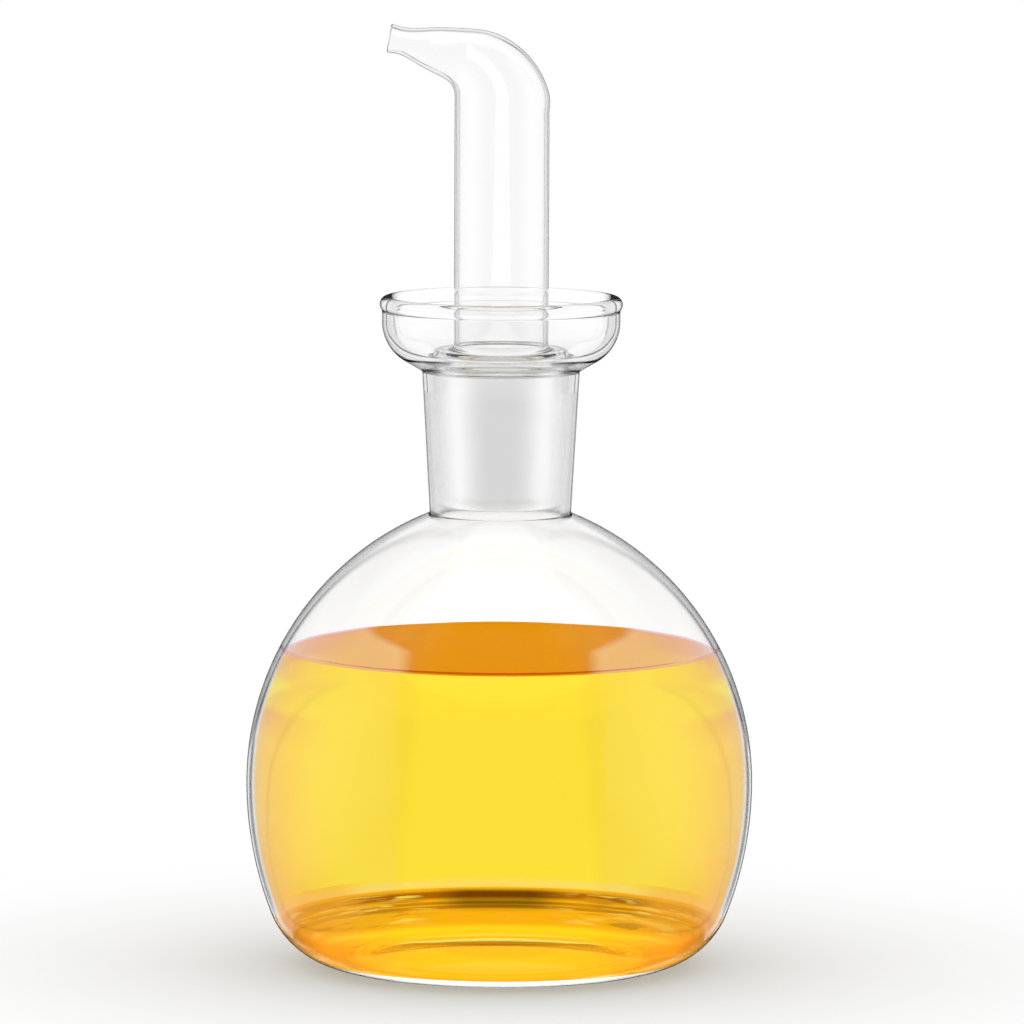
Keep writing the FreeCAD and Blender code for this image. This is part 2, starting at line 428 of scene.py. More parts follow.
def turning_tree():
    """Geometry nodes that turn an outline in the XZ plane round the Z axis."""
    tree = bpy.data.node_groups.new("Turned glass", "GeometryNodeTree")
    face = tree.interface
    face.new_socket("Outline", in_out="INPUT", socket_type="NodeSocketGeometry")
    segments = face.new_socket("Segments", in_out="INPUT", socket_type="NodeSocketInt")
    segments.default_value = FACETS
    finish = face.new_socket("Finish", in_out="INPUT", socket_type="NodeSocketMaterial")
    face.new_socket("Piece", in_out="OUTPUT", socket_type="NodeSocketGeometry")
    bench = Bench(tree)
    add, calc, links = bench.add, bench.calc, bench.links
    source, result = add("NodeGroupInput"), add("NodeGroupOutput")
    size = add("GeometryNodeAttributeDomainSize", component="MESH")
    links.new(source.outputs["Outline"], size.inputs[0])
    rings = size.outputs["Point Count"]
    grid = add("GeometryNodeMeshGrid")
    links.new(calc("ADD", source.outputs["Segments"], 1), grid.inputs["Vertices X"])
    links.new(rings, grid.inputs["Vertices Y"])
    index = add("GeometryNodeInputIndex").outputs[0]
    row = calc("FLOORED_MODULO", index, rings)
    column = calc("FLOOR", calc("DIVIDE", calc("ADD", index, 0.5), rings))
    turn = calc("MULTIPLY", calc("DIVIDE", column, source.outputs["Segments"]), 2 * math.pi)
    sample = add("GeometryNodeSampleIndex", data_type="FLOAT_VECTOR", domain="POINT")
    links.new(source.outputs["Outline"], sample.inputs["Geometry"])
    links.new(add("GeometryNodeInputPosition").outputs[0], sample.inputs["Value"])
    links.new(row, sample.inputs["Index"])
    radius, _, height = bench.split(sample.outputs[0])
    place = bench.combine(calc("MULTIPLY", radius, calc("COSINE", turn)),
                          calc("MULTIPLY", radius, calc("SINE", turn)), height)
    shift = add("GeometryNodeSetPosition")
    links.new(grid.outputs["Mesh"], shift.inputs["Geometry"])
    links.new(place, shift.inputs["Position"])
    merge = add("GeometryNodeMergeByDistance")
    merge.inputs["Distance"].default_value = MERGE_DISTANCE
    links.new(shift.outputs[0], merge.inputs["Geometry"])
    smooth = add("GeometryNodeSetShadeSmooth")
    links.new(merge.outputs[0], smooth.inputs["Geometry"])
    realize = add("GeometryNodeRealizeInstances")
    links.new(smooth.outputs[0], realize.inputs[0])
    paint = add("GeometryNodeSetMaterial")
    links.new(realize.outputs[0], paint.inputs["Geometry"])
    links.new(source.outputs["Finish"], paint.inputs["Material"])
    links.new(paint.outputs[0], result.inputs[0])
    return tree, segments.identifier, finish.identifier


def turned_piece(name, outline, segments, material):
    """Turns an outline of (radius, height) points into a closed piece of glass or liquid."""
    mesh = bpy.data.meshes.new(name + "_outline")
    steps = [(i, i + 1) for i in range(len(outline) - 1)]
    mesh.from_pydata([(r, 0.0, z) for r, z in outline], steps, [])
    piece = bpy.data.objects.new(name, mesh)
    bpy.context.scene.collection.objects.link(piece)
    tree, segments_input, finish_input = turning_tree()
    turning = piece.modifiers.new("Turning", "NODES")
    turning.node_group = tree
    turning[segments_input] = segments
    turning[finish_input] = material
    bpy.context.view_layer.update()
    evaluated = piece.evaluated_get(bpy.context.evaluated_depsgraph_get())
    turned = bpy.data.meshes.new_from_object(evaluated)
    turned.name = name
    piece.modifiers.clear()
    piece.data = turned
    bpy.data.meshes.remove(mesh)
    face_out(piece)
    return piece


def face_out(piece):
    """Turns every face of a closed piece outwards and makes it smooth."""
    work = bmesh.new()
    work.from_mesh(piece.data)
    if work.calc_volume(signed=True) < 0:
        bmesh.ops.reverse_faces(work, faces=work.faces)
    for face in work.faces:
        face.smooth = True
    work.to_mesh(piece.data)
    work.free()


# ---------------------------------------------------------------- spout

TURN_SHARE = 0.45
FIRE_POLISH = 0.15 * MM
STRAIGHT_RUN = 6 * MM
BEND_STEPS = 5
CURVE_STEPS = 15
LIP_STEPS = 7


def stopper_outline(s, flask, inside):
    """Outline of the cone, its shoulder and the tube up to the start of the bend."""
    foot = flask.socket_foot + s.lift
    top = flask.socket_top + s.stand
    cone_foot = flask.socket_radius(foot) - s.clearance
    cone_top = flask.socket_radius(top) - s.clearance
    turn = min(s.shoulder, TURN_SHARE * (cone_top - s.tube_radius))
    tube = s.tube_radius
    if inside:
        cone_foot, cone_top, tube = cone_foot - s.wall, cone_top - s.wall, tube - s.tube_wall
        outer_turn = turn
        turn = min(s.shoulder / 2, TURN_SHARE * (cone_top - tube))
        top += outer_turn - s.wall - turn
    outline = [(cone_foot, foot)]
    outline += arc_points((cone_top - turn, top), turn, 0, 90, SMALL_STEP)
    outline += arc_points((tube + turn, top + 2 * turn), turn, 270, 180, SMALL_STEP)
    outline.append((tube, flask.neck_top + s.tube_rise - STRAIGHT_RUN))
    return thin_out(soften(outline, FIRE_POLISH))


def nose_keys(s, bend_height):
    """Rows of x, z, tilt and radius that the tube passes through from the bend to the mouth."""
    pivot = (-s.tube_radius - s.bend_inner, bend_height)
    keys = [(0.0, bend_height - below, 0.0, s.tube_radius) for below in (STRAIGHT_RUN, STRAIGHT_RUN / 2)]
    for step in range(BEND_STEPS + 1):
        share = step / BEND_STEPS
        tilt = share * s.bend_turn
        radius = s.tube_radius - (s.tube_radius - s.root_radius) * share ** s.bend_fullness
        reach = s.bend_inner + radius
        keys.append((pivot[0] + reach * math.cos(tilt), pivot[1] + reach * math.sin(tilt), tilt, radius))
    root = keys[-1]
    lip = s.mouth_radius - s.lip_flare
    start = s.nose_length - s.lip_length
    for distance, radius in ((start / 2, (s.root_radius + lip) / 2), (start, lip),
                             (s.nose_length, s.mouth_radius)):
        tilt = s.bend_turn + (s.mouth_tilt - s.bend_turn) * distance / s.nose_length
        x = root[0] - distance * math.cos(s.nose_angle)
        z = root[1] + distance * math.sin(s.nose_angle)
        keys.append((x, z, tilt, radius))
    return keys


def spout_rings(s, flask, inside):
    """Centre, tilt and radius of the rings of the spout's outer or inner skin, from foot to mouth."""
    rings = [((0.0, z), 0.0, r) for r, z in stopper_outline(s, flask, inside)]
    inset = s.tube_wall if inside else 0.0
    for x, z, tilt, radius in smooth_through(nose_keys(s, flask.neck_top + s.tube_rise))[1:]:
        rings.append(((x, z), tilt, radius - inset))
    return rings


def smooth_through(keys, per_span=CURVE_STEPS):
    """Natural cubic curve through rows of values, spaced by the distance between their first two."""
    keys = np.array(keys)
    along = np.r_[0, np.cumsum(np.hypot(*np.diff(keys[:, :2], axis=0).T))]
    gaps = np.diff(along)
    count = len(keys)
    system = np.eye(count)
    target = np.zeros_like(keys)
    for i in range(1, count - 1):
        system[i, i - 1:i + 2] = gaps[i - 1], 2 * (gaps[i - 1] + gaps[i]), gaps[i]
        target[i] = 6 * ((keys[i + 1] - keys[i]) / gaps[i] - (keys[i] - keys[i - 1]) / gaps[i - 1])
    bends = np.linalg.solve(system, target)
    rows = []
    for i in range(count - 1):
        for t in np.arange(per_span) / per_span:
            a, b, g = 1 - t, t, gaps[i]
            rows.append(a * keys[i] + b * keys[i + 1]
                        + g * g / 6 * ((a ** 3 - a) * bends[i] + (b ** 3 - b) * bends[i + 1]))
    rows.append(keys[-1])
    return rows


def ring_points(centre, tilt, radius, segments):
    """Points of a ring about a centre in the XZ plane, tilted about the Y axis."""
    across = Vector((math.cos(tilt), 0, math.sin(tilt)))
    middle = Vector((centre[0], 0, centre[1]))
    points = []
    for i in range(segments):
        angle = 2 * math.pi * i / segments
        points.append(middle + (math.cos(angle) * across + Vector((0, math.sin(angle), 0))) * float(radius))
    return points


def rounded_edge(outer, inner, steps=LIP_STEPS):
    """Rings of the half-round edge between an outer and an inner ring, bulging away from the tube."""
    rings = []
    centre, tilt, radius = outer
    wall = (radius - inner[2]) / 2
    middle = (radius + inner[2]) / 2
    out = Vector((-math.sin(tilt), math.cos(tilt)))
    for i in range(1, steps):
        angle = math.pi * i / steps
        push = out * wall * math.sin(angle)
        rings.append(((centre[0] + push.x, centre[1] + push.y), tilt, middle + wall * math.cos(angle)))
    return rings


def skin_mesh(name, rings, segments):
    """Closed skin over a loop of rings."""
    points = []
    for centre, tilt, radius in rings:
        points += ring_points(centre, tilt, radius, segments)
    faces = []
    for i in range(len(rings)):
        here, beyond = i * segments, (i + 1) % len(rings) * segments
        for k in range(segments):
            n = (k + 1) % segments
            faces.append((here + k, here + n, beyond + n, beyond + k))
    mesh = bpy.data.meshes.new(name)
    mesh.from_pydata(points, [], faces)
    return mesh


# ---------------------------------------------------------------- glass

MARK_STRETCH = 7.0
MARK_SCALE = 90.0
MARK_DETAIL = 6.0
MARK_DEPTH = (0.8, 0.6)
SQUARE_SPAN = (0.02, 0.26)


def ground_zone_group():
    """Shader group: roughness and mask of the ground faces between two heights and within a radius."""
    inputs = (("Foot", "Float", 0.0), ("Top", "Float", 0.1), ("Radius", "Float", 0.02),
              ("Frost", "Float", 0.3))
    group, bench, source, result = new_group("Ground faces", inputs,
                                             (("Roughness", "Float"), ("Mask", "Float")))
    calc = bench.calc
    place = bench.place()
    x, y, z = bench.split(place)
    radius = calc("SQRT", calc("ADD", calc("MULTIPLY", x, x), calc("MULTIPLY", y, y)))
    above = calc("GREATER_THAN", z, source.outputs["Foot"])
    below = calc("LESS_THAN", z, source.outputs["Top"])
    within = calc("LESS_THAN", radius, source.outputs["Radius"])
    mask = calc("MULTIPLY", calc("MULTIPLY", above, below), within)
    stretch = bench.add("ShaderNodeMapping")
    stretch.inputs["Scale"].default_value = (1.0, 1.0, MARK_STRETCH)
    bench.put(place, stretch.inputs[0])
    marks = bench.noise(stretch.outputs[0], MARK_SCALE, MARK_DETAIL)
    uneven = calc("MULTIPLY_ADD", marks, *MARK_DEPTH)
    bench.put(calc("MULTIPLY", mask, calc("MULTIPLY", source.outputs["Frost"], uneven)),
              result.inputs["Roughness"])
    bench.put(calc("MULTIPLY", mask, uneven), result.inputs["Mask"])
    return group


def glass_material(name, colours, foot, top, radius):
    """Clear glass, ground between two heights and within a radius: painted grey shade where the ground faces
    are seen squarely, and a painted white glow where they are seen aslant.
    """
    material, bench, shader, _ = new_material(name)
    set_inputs(shader, {"Metallic": 0.0, "IOR": colours.glass_ior, "Transmission Weight": 1.0,
                        "Base Color": (*colours.glass_tint, 1), "Emission Strength": colours.ground_glow})
    zone = bench.add("ShaderNodeGroup")
    zone.node_tree = bpy.data.node_groups.get("Ground faces") or ground_zone_group()
    set_inputs(zone, {"Foot": foot, "Top": top, "Radius": radius, "Frost": colours.frost})
    bench.put(zone.outputs["Roughness"], shader.inputs["Roughness"])
    mask = zone.outputs["Mask"]
    # Painted grey shade where the ground faces are seen squarely, and a painted white glow where they are
    # seen aslant.
    square = bench.ramp(bench.facing(), SQUARE_SPAN, 1.0, 0.0, "LINEAR")
    share = bench.calc("MULTIPLY", square, mask, clamp=True)
    bench.put(bench.blend(share, colours.glass_tint, colours.ground_shade_tint), shader.inputs["Base Color"])
    slant_glow = bench.calc("SUBTRACT", mask, share, clamp=True)
    bench.put(bench.blend(slant_glow, BLACK, WHITE), shader.inputs["Emission Color"])
    return material


# ---------------------------------------------------------------- oil

# Heights over the foot. Each heel ring of painted shade has a height, half its width and a strength.
HEEL_TOP = 11 * MM
FOOT_EDGE = (2.0 * MM, 2.2 * MM)
HEEL_SHADE_RINGS = ((7.5 * MM, 1.1 * MM, 1.0), (5.95 * MM, 0.4 * MM, 0.8), (5.2 * MM, 0.45 * MM, 0.8))
# Span of the pale line of painted highlight over the heel rings.
HEEL_HIGHLIGHT = (8.7 * MM, 9.1 * MM)
HEEL_FADE = (9.7 * MM, HEEL_TOP)
GLINTS_START = (2.2 * MM, 3.0 * MM)
GLINTS_END = (8.6 * MM, 7.6 * MM)
FOOT_MIRROR = 2.5 * MM
WALL_MIRROR = 25 * MM
EDGE_RISE = (9 * MM, 17 * MM)
# Heights of the bands of painted shade and the band of painted highlight at the oil's outer edge.
LOWER_SHADE_BAND = (46 * MM, 52 * MM)
HIGHLIGHT_BAND = (52.3 * MM, 54.6 * MM)
UPPER_SHADE_BAND = (57.5 * MM, 60.5 * MM)

# Distances from the middle, to either side.
SIDE_START = (20.3 * MM, 21.7 * MM)
# Where the painted light on the sides of the top skin begins.
SURFACE_SIDE_START = (17 * MM, 21 * MM)
SURFACE_WIDENING = -0.25
GLINTS_ASIDE = (8 * MM, 22 * MM)
# Where the heel's rings fade to the painted shade of its sides.
HEEL_SIDE_SHADE_START = (26 * MM, 34 * MM)

# Depths under the level between which the skin turns to the dark line of painted shade round it.
SHORE_SHADE_LINE = (0.45 * MM, 0.3 * MM)
SHORE_SHADE_TINT = (0.2, 0.03, 0.0002)

# Spans of the facing value in which the edge tint comes in, and in which the skin turns clear, so that a pale
# ring of painted light shows at the rim.
EDGE_FACING = (0.12, 0.30)
CLEAR_FACING = (0.298, 0.308)

# Painted glints round the heel: light streaks of painted highlight, dark streaks of painted shade.
GLINT_TURNS = 3.2
GLINT_RISES = 1100.0
GLINT_DETAIL = 4.0
GLINT_LIGHT = (0.53, 0.66)
GLINT_DARK = (0.47, 0.36)
GLINT_STRENGTH = 0.8
GLINT_LIGHT_TINT = (1.0, 0.70, 0.16)
GLINT_DARK_TINT = (0.42, 0.10, 0.001)
# Tint and strength of the painted shade at the sides of the heel.
HEEL_SIDE_SHADE_TINT = (1.0, 0.26, 0.01)
HEEL_SIDE_SHADE_STRENGTH = 0.55


def oil_wall(bench, colours, aside, up):
    """Colour of the oil at the glass: its own tint, paler to the sides, with bands of painted shade and a
    band of painted highlight at its outer edge, and clear at the rim as a ring of painted light.
    """
    edge = colours.edge_low_tint
    for span, tint_above in ((EDGE_RISE, colours.edge_tint), (LOWER_SHADE_BAND, colours.edge_shade_band_tint),
                             (HIGHLIGHT_BAND, colours.edge_highlight_tint), (UPPER_SHADE_BAND, colours.edge_shade_band_tint)):
        edge = bench.blend(bench.ramp(up, span), edge, tint_above)
    wall = bench.blend(bench.ramp(aside, SIDE_START), colours.oil_tint, colours.oil_side_tint)
    facing = bench.facing()
    wall = bench.blend(bench.ramp(facing, EDGE_FACING), wall, edge)
    return bench.blend(bench.ramp(facing, CLEAR_FACING), wall, WHITE)


def oil_surface(bench, colours, aside, back):
    """Painted shade and light on the top skin: a darker middle of painted shade, which widens towards the
    back, and paler sides of painted light.
    """
    widened = bench.calc("MAXIMUM", back, 0.0)
    outward = bench.calc("MULTIPLY_ADD", widened, SURFACE_WIDENING, aside)
    return bench.blend(bench.ramp(outward, SURFACE_SIDE_START), colours.surface_shade_tint,
                       colours.surface_side_light_tint)


def heel_glints(bench, rings, across, back, up, aside):
    """Lays short streaks of painted highlight and of painted shade round the heel over its rings."""
    calc, ramp = bench.calc, bench.ramp
    round_about = calc("ARCTAN2", across, back)
    streaks = bench.combine(calc("MULTIPLY", round_about, GLINT_TURNS), calc("MULTIPLY", up, GLINT_RISES))
    glints = bench.noise(streaks, 1.0, GLINT_DETAIL)
    band = calc("MULTIPLY", ramp(up, GLINTS_START), ramp(up, GLINTS_END))
    band = calc("MULTIPLY", band, ramp(aside, GLINTS_ASIDE))
    bright = calc("MULTIPLY", band, ramp(glints, GLINT_LIGHT))
    rings = bench.blend(calc("MULTIPLY", bright, GLINT_STRENGTH), rings, GLINT_LIGHT_TINT)
    return bench.blend(calc("MULTIPLY", band, ramp(glints, GLINT_DARK)), rings, GLINT_DARK_TINT)


def oil_heel(bench, colours, across, back, up, aside):
    """Colour of the oil in the heel of the bottle: deep orange over the foot, a darker heel tint and dark
    rings of painted shade, a pale line of painted highlight over them, and glints.
    """
    calc, ramp, blend = bench.calc, bench.ramp, bench.blend
    ring_shade = 0.0
    for height, half_width, strength in HEEL_SHADE_RINGS:
        off = calc("ABSOLUTE", calc("SUBTRACT", up, height))
        ring = ramp(off, (half_width, half_width / 3))
        ring_shade = calc("MAXIMUM", ring_shade, calc("MULTIPLY", ring, strength))
    rings = blend(ramp(up, FOOT_EDGE), colours.foot_tint, colours.heel_shade_tint)
    rings = blend(ring_shade, rings, colours.heel_shade_ring_tint)
    rings = blend(ramp(up, HEEL_HIGHLIGHT), rings, colours.heel_highlight_tint)
    rings = blend(ramp(up, HEEL_FADE), rings, colours.oil_tint)
    rings = heel_glints(bench, rings, across, back, up, aside)
    return blend(ramp(aside, HEEL_SIDE_SHADE_START, 0.0, HEEL_SIDE_SHADE_STRENGTH), rings, HEEL_SIDE_SHADE_TINT)


def oil_material(name, colours, level):
    """Yellow oil, coloured in its skin, with painted light and shade there, and a little in its depth."""
    material, bench, shader, output = new_material(name)
    set_inputs(shader, {"Metallic": 0.0, "Roughness": 0.0, "IOR": colours.oil_ior,
                        "Transmission Weight": 1.0})
    calc, blend = bench.calc, bench.blend
    across, back, up = bench.split(bench.place())
    aside = calc("ABSOLUTE", across)
    face = bench.add("ShaderNodeNewGeometry")
    level_face = calc("GREATER_THAN", bench.split(face.outputs["Normal"])[2], 0.5)
    mirrored = calc("GREATER_THAN", bench.add("ShaderNodeLightPath").outputs["Glossy Depth"], 0.5)
    wall = oil_wall(bench, colours, aside, up)
    surface = blend(mirrored, oil_surface(bench, colours, aside, back), WHITE)
    # A dark line of painted shade round the top skin, just under the level.
    shore = bench.ramp(up, tuple(level - depth for depth in SHORE_SHADE_LINE))
    entry = blend(level_face, blend(shore, wall, SHORE_SHADE_TINT), surface)
    foot_mirror = calc("MULTIPLY", mirrored, calc("LESS_THAN", up, FOOT_MIRROR))
    heel = blend(foot_mirror, oil_heel(bench, colours, across, back, up, aside), WHITE)
    wall_mirror = calc("MULTIPLY", mirrored, calc("GREATER_THAN", up, WALL_MIRROR))
    leaving = blend(calc("LESS_THAN", up, HEEL_TOP), blend(wall_mirror, wall, WHITE), heel)
    bench.put(blend(face.outputs["Backfacing"], entry, leaving), shader.inputs["Base Color"])
    depth = bench.add("ShaderNodeVolumeAbsorption")
    set_inputs(depth, {"Color": (*colours.oil_depth_tint, 1), "Density": colours.oil_depth})
    bench.put(depth.outputs[0], output.inputs["Volume"])
    return material


# ---------------------------------------------------------------- light tent

# Grey stops from straight behind the bottle (0 degrees) round to the front (180 degrees).
TENT = ((0, 1.1), (18, 1.1), (19.5, 0.15), (23.5, 0.15), (25, 1.0), (60, 0.95), (95, 0.9), (180, 0.92))
HALF_TURN = 180
# Spans of the rise of a direction, between which the tent dims, and its mirrored light opens.
ROOF_RISE = (0.35, 0.55)
ROOF_LIGHT = 0.6
OPEN_RISE = (0.25, 0.4)
# Shares of the half turn: the dark band behind that is mirrored, and the dark front.
MIRRORED_BAND = (19 / HALF_TURN, 24 / HALF_TURN)
MIRRORED_DARK = 0.05
FRONT_SPAN = (0.53, 0.78)
FRONT_LIGHT = (0.85, 0.03)


def tent_group():
    """Shader group: brightness of the light tent in a direction, from behind the bottle to the front."""
    group, bench, source, result = new_group(
        "Light tent", (("Direction", "Vector", None), ("Narrowing", "Float", 1.0)),
        (("Light", "Color"), ("Mirrored", "Color"), ("Mirrored inside", "Color")))
    calc, blend = bench.calc, bench.blend
    across, back, _ = bench.split(source.outputs["Direction"])
    share = calc("DIVIDE", calc("ARCTAN2", calc("ABSOLUTE", across), back), math.pi)
    stops = bench.add("ShaderNodeValToRGB")
    fill_ramp(stops.color_ramp, TENT)
    bench.put(share, stops.inputs[0])
    rise = bench.split(bench.vector("NORMALIZE", source.outputs["Direction"]))[2]
    roof = bench.ramp(rise, ROOF_RISE, 1.0, ROOF_LIGHT, "LINEAR")
    light = blend(1.0, stops.outputs[0], roof, "MULTIPLY")
    narrowed = calc("MULTIPLY", share, source.outputs["Narrowing"])
    band = bench.ramp(narrowed, MIRRORED_BAND, MIRRORED_DARK, 1.0, "LINEAR")
    front = bench.ramp(share, FRONT_SPAN, *FRONT_LIGHT, "LINEAR")
    inside = blend(1.0, light, front, "MULTIPLY")
    open_sky = calc("MAXIMUM", band, bench.ramp(rise, OPEN_RISE, kind="LINEAR"))
    bench.put(light, result.inputs["Light"])
    bench.put(blend(1.0, inside, open_sky, "MULTIPLY"), result.inputs["Mirrored"])
    bench.put(inside, result.inputs["Mirrored inside"])
    return group


def fill_ramp(ramp, stops):
    """Puts grey stops, given as (degrees from straight behind, brightness), on a colour ramp."""
    for i, (angle, value) in enumerate(stops):
        stop = ramp.elements[i] if i < 2 else ramp.elements.new(angle / HALF_TURN)
        stop.position = angle / HALF_TURN
        stop.color = (value, value, value, 1)


def tent_choice(bench, tent, path):
    """Light of the tent, or its mirrored kinds where a surface mirrors it."""
    mirrored_once = bench.calc("GREATER_THAN", path.outputs["Glossy Depth"], 0.5)
    within = bench.blend(mirrored_once, tent.outputs["Light"], tent.outputs["Mirrored inside"])
    return bench.blend(path.outputs["Is Reflection Ray"], within, tent.outputs["Mirrored"])


def seen_mix(bench, path, seen, rest):
    """Shows one shader to the camera and through or in the glass, and another to everything else."""
    rays = ("Is Camera Ray", "Is Transmission Ray", "Is Glossy Ray")
    looked_at = bench.largest(*(path.outputs[ray] for ray in rays))
    return bench.mix_shaders(looked_at, rest, seen)


def build_world(scene):
    """The light tent round the object, plain white where the camera sees it directly."""
    world = bpy.data.worlds.new("light_tent")
    scene.world = world
    world.use_nodes = True
    bench = Bench(world.node_tree)
    rest = bench.nodes["Background"]
    set_inputs(rest, {"Color": (*WHITE, 1), "Strength": 1.0})
    tent = bench.add("ShaderNodeGroup", node_tree=tent_group())
    bench.put(bench.add("ShaderNodeTexCoord").outputs["Generated"], tent.inputs["Direction"])
    seen = bench.add("ShaderNodeBackground")
    path = bench.add("ShaderNodeLightPath")
    shown = bench.blend(path.outputs["Is Camera Ray"], tent_choice(bench, tent, path), WHITE)
    bench.put(shown, seen.inputs["Color"])
    bench.put(seen_mix(bench, path, seen.outputs[0], rest.outputs[0]),
              bench.nodes["World Output"].inputs["Surface"])


# ---------------------------------------------------------------- floor

FLOOR_SIDE = 2.6
FLOOR_DEPTH = 8 * FLOOR_SIDE
FLOOR_ROUGHNESS = 0.9

# Distances on the floor from the middle of the foot, and the light that the floor has there.
STRIP_EDGE = (19 * MM, 24 * MM)
STRIP_SIDE_LIGHT = 0.94
CARD_EDGE = (6 * MM, 16 * MM)
CARD_NEAR = (60 * MM, 75 * MM)
CARD_FAR = (92 * MM, 99 * MM)
CARD_DIMMING = -0.6
UNDER_EDGE = (36 * MM, 50 * MM)
UNDER_LIGHT = 1.5
TENT_START = (55 * MM, 80 * MM)
NEAR_LIGHT = (1.1, 1.1, 1.1)
LANE_SPAN = (0.4, 0.7)
LANE_WIDTH = (47 * MM, 12 * MM)
NARROWING_SPAN = (0.35, 0.6)
NARROWING = 1.6
SHADOW_SPAN = (50 * MM, 160 * MM)
SHADOW_SHARE = 0.30


def floor_light(bench, path, place, away):
    """Light that the glass gets from the floor: its own near the bottle, and the tent's further out."""
    calc, ramp = bench.calc, bench.ramp
    across, back, _ = bench.split(place)
    aside = calc("ABSOLUTE", across)
    strip = ramp(aside, STRIP_EDGE, 1.0, STRIP_SIDE_LIGHT)
    card = calc("MULTIPLY", ramp(aside, CARD_EDGE, 1.0, 0.0), ramp(back, CARD_FAR, 1.0, 0.0))
    dim = calc("MULTIPLY_ADD", card, ramp(back, CARD_NEAR, 0.0, CARD_DIMMING), 1.0)
    strip = calc("MULTIPLY", calc("MULTIPLY", strip, dim), ramp(away, UNDER_EDGE, UNDER_LIGHT, 1.0))
    beside = calc("MAXIMUM", calc("SUBTRACT", aside, ramp(back, LANE_SPAN, *LANE_WIDTH)), 0.0)
    tent = bench.add("ShaderNodeGroup", node_tree=bpy.data.node_groups["Light tent"])
    bench.put(bench.combine(beside, back), tent.inputs["Direction"])
    bench.put(ramp(away, NARROWING_SPAN, NARROWING, 1.0), tent.inputs["Narrowing"])
    further = calc("MAXIMUM", ramp(away, TENT_START), path.outputs["Is Reflection Ray"])
    light = bench.blend(further, NEAR_LIGHT, tent_choice(bench, tent, path))
    return bench.blend(1.0, light, strip, "MULTIPLY")


def build_floor(scene):
    """Pale floor that takes a soft shadow, and lights the glass as a part of the tent."""
    mesh = bpy.data.meshes.new("floor")
    corners = [(-FLOOR_SIDE, -FLOOR_SIDE, 0), (FLOOR_SIDE, -FLOOR_SIDE, 0), (FLOOR_SIDE, FLOOR_DEPTH, 0),
               (-FLOOR_SIDE, FLOOR_DEPTH, 0)]
    mesh.from_pydata(corners, [], [(0, 1, 2, 3)])
    floor = bpy.data.objects.new("floor", mesh)
    scene.collection.objects.link(floor)
    material, bench, shader, output = new_material("floor_white")
    set_inputs(shader, {"Base Color": (*scene.bottle_colours.floor_tint, 1),
                        "Roughness": FLOOR_ROUGHNESS, "Specular IOR Level": 0.0})
    place = bench.place()
    away = bench.vector("LENGTH", place, "Value")
    path = bench.add("ShaderNodeLightPath")
    white = bench.add("ShaderNodeEmission")
    shown = bench.blend(path.outputs["Is Camera Ray"], floor_light(bench, path, place, away), WHITE)
    bench.put(shown, white.inputs["Color"])
    past_shadow = bench.ramp(away, SHADOW_SPAN, SHADOW_SHARE, 1.0)
    clear = bench.largest(past_shadow, path.outputs["Is Transmission Ray"], path.outputs["Is Glossy Ray"])
    seen = bench.mix_shaders(clear, shader.outputs[0], white.outputs[0])
    bench.put(seen_mix(bench, path, seen, shader.outputs[0]), output.inputs["Surface"])
    mesh.materials.append(material)


# ---------------------------------------------------------------- camera

SENSOR_WIDTH = 36.0
LENS = 330.5
CAMERA_AWAY = 1.895
CAMERA_RISE = math.radians(7.57)
CAMERA_ROLL = math.radians(-0.25)
# Height of the point that the camera stands square to, and how far its view points off that point,
# as slopes to the right and up.
SQUARE_HEIGHT = 0.0484
AIM_RIGHT, AIM_UP = 0.001234, 0.022679
NEAREST, FURTHEST = 0.05, 20.0


def build_camera(scene):
    """A long lens in front of the bottle and a little above it."""
    data = bpy.data.cameras.new("camera")
    camera = bpy.data.objects.new("camera", data)
    scene.collection.objects.link(camera)
    scene.camera = camera
    data.sensor_width = SENSOR_WIDTH
    data.lens = LENS
    data.clip_start, data.clip_end = NEAREST, FURTHEST
    back = Vector((0, -math.cos(CAMERA_RISE), math.sin(CAMERA_RISE)))
    right = Vector((1, 0, 0))
    up = right.cross(-back)
    look = (-back + right * AIM_RIGHT + up * AIM_UP).normalized()
    camera.rotation_mode = "QUATERNION"
    camera.location = Vector((0, 0, SQUARE_HEIGHT)) + back * CAMERA_AWAY
    roll = Matrix.Rotation(CAMERA_ROLL, 4, look)
    turn = look.to_track_quat("-Z", "Y").to_matrix().to_4x4()
    camera.rotation_quaternion = (roll @ turn).to_quaternion()


# ---------------------------------------------------------------- operators

GROUND_SHARE = 0.3
ANY_RADIUS = 1.0
CLIMB_STEPS = 24
CLIMB_REACH = 4
SURFACE_STEPS = 11


class OILBOTTLE_OT_flask(Operator):
    """Turn the flask with its neck and drip cup"""
    bl_idname = "oilbottle.flask"
    bl_label = "Build Flask"

    def execute(self, context):
        scene = context.scene
        sizes = scene.bottle_sizes
        flask = FlaskShape(sizes)
        outline = thin_out(soften(flask.bottle()))
        glass = glass_material("clear_glass", scene.bottle_colours, flask.socket_foot, flask.socket_top,
                               sizes.neck_radius - GROUND_SHARE * sizes.neck_wall)
        piece = turned_piece("flask", outline, sizes.segments, glass)
        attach(piece, "root")
        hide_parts("bottle")
        return {"FINISHED"}


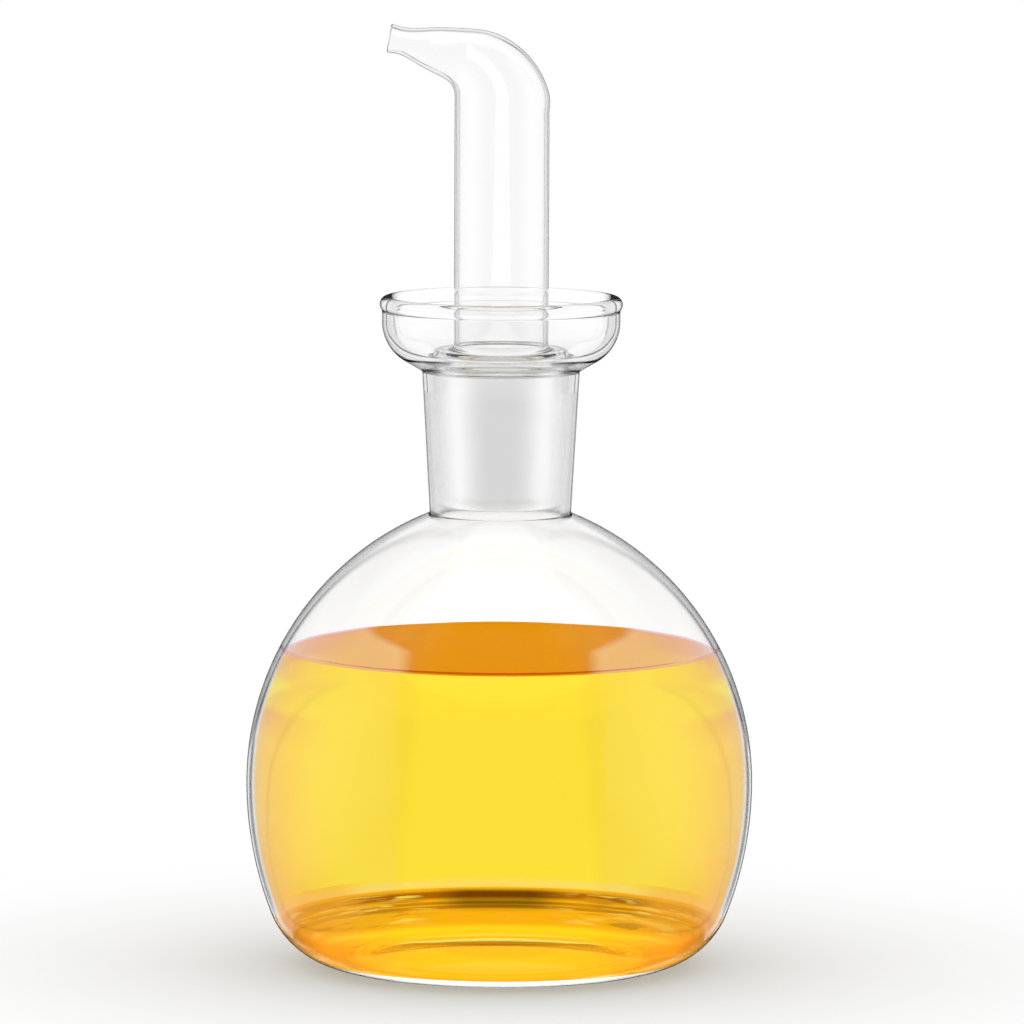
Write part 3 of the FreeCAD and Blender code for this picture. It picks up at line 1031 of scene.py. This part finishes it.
class OILBOTTLE_OT_spout(Operator):
    """Draw the hollow ground stopper and its bent pouring tube"""
    bl_idname = "oilbottle.spout"
    bl_label = "Build Spout"

    def execute(self, context):
        scene = context.scene
        sizes = scene.spout_sizes
        flask = FlaskShape(scene.bottle_sizes)
        outer = spout_rings(sizes, flask, False)
        inner = spout_rings(sizes, flask, True)
        lip = rounded_edge(outer[-1], inner[-1])
        below = rounded_edge((outer[0][0], math.pi, outer[0][2]), (inner[0][0], math.pi, inner[0][2]))
        foot = [(centre, 0.0, radius) for centre, _, radius in reversed(below)]
        mesh = skin_mesh("pouring_spout", outer + lip + inner[::-1] + foot, scene.bottle_sizes.segments)
        piece = bpy.data.objects.new("pouring_spout", mesh)
        scene.collection.objects.link(piece)
        face_out(piece)
        ground_foot = flask.socket_foot + sizes.lift - MM
        glass = glass_material("spout_glass", scene.bottle_colours, ground_foot, flask.socket_top, ANY_RADIUS)
        mesh.materials.append(glass)
        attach(piece, "root")
        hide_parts("spout")
        return {"FINISHED"}


class OILBOTTLE_OT_oil(Operator):
    """Fill the flask with oil up to its level"""
    bl_idname = "oilbottle.oil"
    bl_label = "Fill With Oil"

    def execute(self, context):
        scene = context.scene
        sizes, oil = scene.bottle_sizes, scene.oil_sizes
        flask = FlaskShape(sizes)
        wall = np.array(soften(flask.flask(sizes.body_wall - oil.into_wall, flask.socket_foot_radius)))
        top = oil.level
        wall = wall[:np.argmax(wall[:, 1] > top) + 1]
        shore = wall[-1][0] - oil.into_wall
        surface = [(shore, top)]
        for i in range(1, CLIMB_STEPS + 1):
            across = CLIMB_REACH * oil.climb_width * (i / CLIMB_STEPS)
            fallen = oil.climb * (1 - math.exp(-across / oil.climb_width))
            surface.append((shore - across, top - fallen))
        flat_radius, low = surface[-1]
        for i in range(1, SURFACE_STEPS + 1):
            surface.append((flat_radius * (1 - i / SURFACE_STEPS), low))
        outline = np.array([*thin_out(wall), *surface])
        finish = oil_material("oil", scene.bottle_colours, top)
        piece = turned_piece("oil_fill", outline, sizes.segments, finish)
        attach(piece, "root")
        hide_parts("oil")
        return {"FINISHED"}


class OILBOTTLE_OT_studio(Operator):
    """Set up the floor, the light tent and the camera"""
    bl_idname = "oilbottle.studio"
    bl_label = "Set Up Studio"

    def execute(self, context):
        scene = context.scene
        scene.view_settings.view_transform = "Standard"
        build_world(scene)
        build_floor(scene)
        build_camera(scene)
        return {"FINISHED"}


class OILBOTTLE_PT_panel(Panel):
    """Pieces, sizes and colours of the oil bottle"""
    bl_idname = "OILBOTTLE_PT_panel"
    bl_label = "Oil Bottle"
    bl_space_type = "VIEW_3D"
    bl_region_type = "UI"
    bl_category = "Oil Bottle"

    def draw(self, context):
        layout = self.layout
        for operator in OPERATORS:
            layout.operator(operator.bl_idname)
        for name in GROUPS:
            box = layout.box()
            settings = getattr(context.scene, name)
            for key in settings.__annotations__:
                box.prop(settings, key)


OPERATORS = (OILBOTTLE_OT_flask, OILBOTTLE_OT_spout, OILBOTTLE_OT_oil, OILBOTTLE_OT_studio)
GROUPS = {"bottle_sizes": BottleSizes, "spout_sizes": SpoutSizes, "oil_sizes": OilSizes,
          "bottle_colours": BottleColours}


def register():
    for cls in (*GROUPS.values(), *OPERATORS, OILBOTTLE_PT_panel):
        bpy.utils.register_class(cls)
    for name, group in GROUPS.items():
        setattr(bpy.types.Scene, name, PointerProperty(type=group))


def unregister():
    for name in GROUPS:
        delattr(bpy.types.Scene, name)
    for cls in reversed((*GROUPS.values(), *OPERATORS, OILBOTTLE_PT_panel)):
        bpy.utils.unregister_class(cls)


def main():
    register()
    bpy.ops.oilbottle.flask()
    bpy.ops.oilbottle.spout()
    bpy.ops.oilbottle.oil()
    bpy.ops.oilbottle.studio()


if __name__ == "__main__":
    main()
